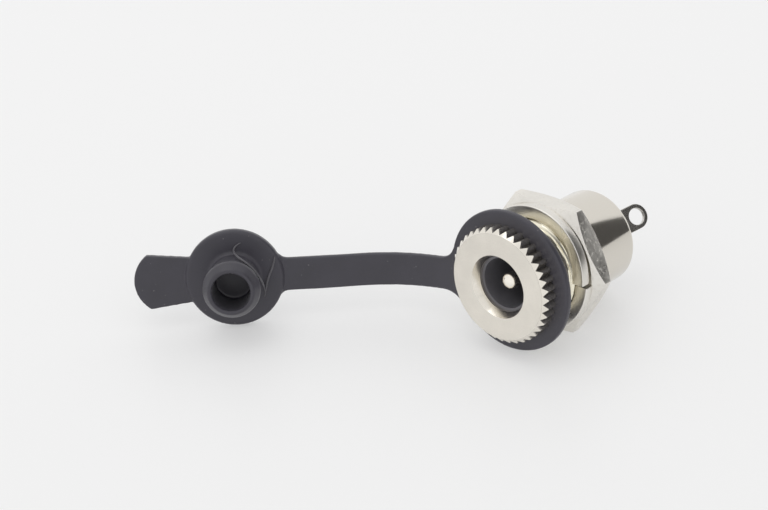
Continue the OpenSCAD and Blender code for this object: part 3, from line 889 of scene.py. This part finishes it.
def wisp_group():
    """Turns each path into a thin round strand that tapers to its ends."""
    tree, start, end = new_group("Wisp", [("Thickness", "NodeSocketFloat"),
                                          ("Material", "NodeSocketMaterial")])
    given = start.outputs
    fine = add(tree, "GeometryNodeResampleCurve",
               {"Curve": given["Geometry"], "Count": 60}).outputs[0]
    on = add(tree, "GeometryNodeSplineParameter").outputs["Factor"]
    belly = calc(tree, "SQRT", calc(tree, "SINE", calc(tree, "MULTIPLY", on, math.pi)))
    tip_share = 0.25
    taper = calc(tree, "ADD", calc(tree, "MULTIPLY", belly, 1 - tip_share), tip_share)
    size = calc(tree, "MULTIPLY", taper, calc(tree, "DIVIDE", given["Thickness"], 2.0))
    outline = add(tree, "GeometryNodeCurvePrimitiveCircle",
                  {"Resolution": 8, "Radius": 1.0}).outputs[0]
    tube = add(tree, "GeometryNodeCurveToMesh", {"Curve": fine, "Profile Curve": outline,
                                                 "Scale": size, "Fill Caps": True}).outputs[0]
    real = add(tree, "GeometryNodeRealizeInstances", {0: tube}).outputs[0]
    last = add(tree, "GeometryNodeSetMaterial", {"Geometry": real, "Material": given["Material"]})
    tree.links.new(last.outputs[0], end.inputs[0])
    return tree


class JACK_OT_wisps(bpy.types.Operator):
    """Two loose strands of mould flash that cling to the cap's disc and plug"""

    bl_idname = "jack.wisps"
    bl_label = "Mould flash"

    def execute(self, context):
        s = context.scene.jack_cap_sizes
        finish = context.scene.jack_finishes
        front = (s.disc_t - s.disc_back) / MM
        rest = front + 0.4 * s.wisp / MM
        # points in millimetres from the disc's middle: along the strap's heading, up the disc's
        # face, and out on its plug side, where rest is a strand that lies on the face
        strands = (
            ((1.2, 4.3, rest), (0.5, 4.05, rest), (0.05, 3.45, 1.3), (0.8, 3.15, 3.0),
             (2.1, 2.4, 3.9), (2.95, 1.15, 3.5), (3.45, -0.4, 2.4), (3.5, -1.5, 1.2),
             (3.45, -2.0, rest)),
            ((5.0, 2.3, rest), (4.75, 1.1, rest), (4.0, 0.2, rest), (3.6, -1.5, rest),
             (3.35, -2.5, rest)))
        way = Vector((math.cos(s.disc_turn), math.sin(s.disc_turn), 0))
        side = Vector((math.sin(s.disc_turn), -math.cos(s.disc_turn), 0))
        upright = Vector((0, 0, 1))
        up = math.cos(s.disc_lean) * upright - math.sin(s.disc_lean) * side
        out = math.cos(s.disc_lean) * side + math.sin(s.disc_lean) * upright
        height = (cad_box[0].z + s.disc_d / 2 * math.cos(s.disc_lean)
                  + s.disc_back * math.sin(s.disc_lean))
        middle = Vector((s.disc_x, s.disc_y, height))
        curve = bpy.data.curves.new("wisp_paths", "CURVE")
        curve.dimensions = "3D"
        for strand in strands:
            line = curve.splines.new("NURBS")
            line.points.add(len(strand) - 1)
            for point, (a, b, c) in zip(line.points, strand):
                point.co = (*(middle + (way * a + up * b + out * c) * MM), 1)
            line.use_endpoint_u, line.order_u = True, 4
        holder = bpy.data.objects.new("wisp_paths", curve)
        context.scene.collection.objects.link(holder)
        material = moulded_rubber("pale_flash", finish.flash, finish.dust, finish.rubber_rough)
        run_group(holder, wisp_group(), {"Thickness": s.wisp, "Material": material})
        wisps = settled(holder, "flash_wisps", angle=60)
        dress(wisps, material, "rubber")
        return {"FINISHED"}


# ---------------------------------------------------------------- stage

def area_lamp(name, place, target, size, power):
    lamp = bpy.data.lights.new(name, "AREA")
    lamp.shape, lamp.size, lamp.energy = "SQUARE", size, power
    made = bpy.data.objects.new(name, lamp)
    bpy.context.scene.collection.objects.link(made)
    made.location = place
    made.rotation_euler = (Vector(target) - Vector(place)).to_track_quat("-Z", "Y").to_euler()


def glossy_card(name, place, target, width, height, colour):
    """A card that only shows in reflections."""
    bpy.ops.mesh.primitive_plane_add(size=1)
    card = bpy.context.object
    card.name = name
    card.scale = (width, height, 1)
    card.location = place
    card.rotation_euler = (Vector(target) - Vector(place)).to_track_quat("Z", "Y").to_euler()
    material, tree, surface = new_material(name)
    wire(tree, surface, Base_Color=(*colour, 1), Roughness=0.9)
    card.data.materials.append(material)
    card.visible_camera = card.visible_diffuse = card.visible_shadow = False


class JACK_OT_stage(bpy.types.Operator):
    """Pale floor, soft light and the camera"""

    bl_idname = "jack.stage"
    bl_label = "Stage"

    def execute(self, context):
        scene = context.scene
        bpy.ops.mesh.primitive_plane_add(size=4, location=(0, 0, cad_box[0].z))
        floor = bpy.context.object
        floor.name = "floor"
        material, tree, surface = new_material("pale_floor")
        finish = scene.jack_finishes
        wire(tree, surface, Base_Color=(*finish.floor, 1), Roughness=0.42, Specular_IOR_Level=0.3,
             Emission_Color=(1.0, 1.0, 1.0, 1.0), Emission_Strength=finish.floor_glow)
        floor.data.materials.append(material)
        world = bpy.data.worlds.new("studio")
        world.use_nodes = True
        sky = world.node_tree.nodes["Background"]
        sky.inputs["Color"].default_value = (1.0, 1.0, 1.0, 1.0)
        sky.inputs["Strength"].default_value = finish.sky
        scene.world = world
        middle = (0, 0, 0)
        area_lamp("key", (-0.12, -0.06, 0.42), middle, size=0.3, power=0.2)
        glossy_card("dark_card", (0.34, 0.22, 0.17), middle, width=0.5, height=0.40,
                    colour=(0.085, 0.083, 0.082))
        camera = bpy.data.cameras.new("camera")
        camera.lens, camera.sensor_width, camera.clip_start = 112.5, 36.0, 0.01
        made = bpy.data.objects.new("camera", camera)
        scene.collection.objects.link(made)
        eye = Vector((153.884, -176.561, 142.588)) * MM
        right = Vector((0.74353, 0.66336, -0.08439))
        ahead = Vector((-0.60491, 0.61342, -0.50774)).normalized()
        up = right.cross(ahead).normalized()
        right = ahead.cross(up).normalized()
        turned = Matrix((right, up, -ahead)).transposed().to_4x4()
        made.matrix_world = Matrix.Translation(eye) @ turned
        scene.camera = made
        scene.view_settings.view_transform = "Standard"
        return {"FINISHED"}


# ---------------------------------------------------------------- add-on

class JACK_PT_panel(bpy.types.Panel):
    """Lists the jack's sizes, finishes and pieces"""

    bl_label = "Barrel Jack"
    bl_idname = "JACK_PT_panel"
    bl_space_type = "VIEW_3D"
    bl_region_type = "UI"
    bl_category = "Barrel Jack"

    def draw(self, context):
        for group in (context.scene.jack_shell_sizes, context.scene.jack_fastener_sizes,
                      context.scene.jack_cap_sizes, context.scene.jack_finishes):
            box = self.layout.box()
            for key in group.__annotations__:
                box.prop(group, key)
        for piece in PIECES:
            self.layout.operator(piece.bl_idname)


GROUPS = {"jack_shell_sizes": ShellSizes, "jack_fastener_sizes": FastenerSizes,
          "jack_cap_sizes": CapSizes, "jack_finishes": Finishes}
PIECES = (JACK_OT_shell, JACK_OT_pin, JACK_OT_nut, JACK_OT_washer, JACK_OT_contacts,
          JACK_OT_insulators, JACK_OT_cap, JACK_OT_wisps, JACK_OT_stage)


def register():
    for kind in (*GROUPS.values(), *PIECES, JACK_PT_panel):
        bpy.utils.register_class(kind)
    for name, kind in GROUPS.items():
        setattr(bpy.types.Scene, name, PointerProperty(type=kind))


def unregister():
    for name in GROUPS:
        delattr(bpy.types.Scene, name)
    for kind in (JACK_PT_panel, *reversed(PIECES), *reversed(tuple(GROUPS.values()))):
        bpy.utils.unregister_class(kind)


def main():
    register()
    for piece in PIECES:
        space, name = piece.bl_idname.split(".")
        getattr(getattr(bpy.ops, space), name)()


if __name__ == "__main__":
    main()
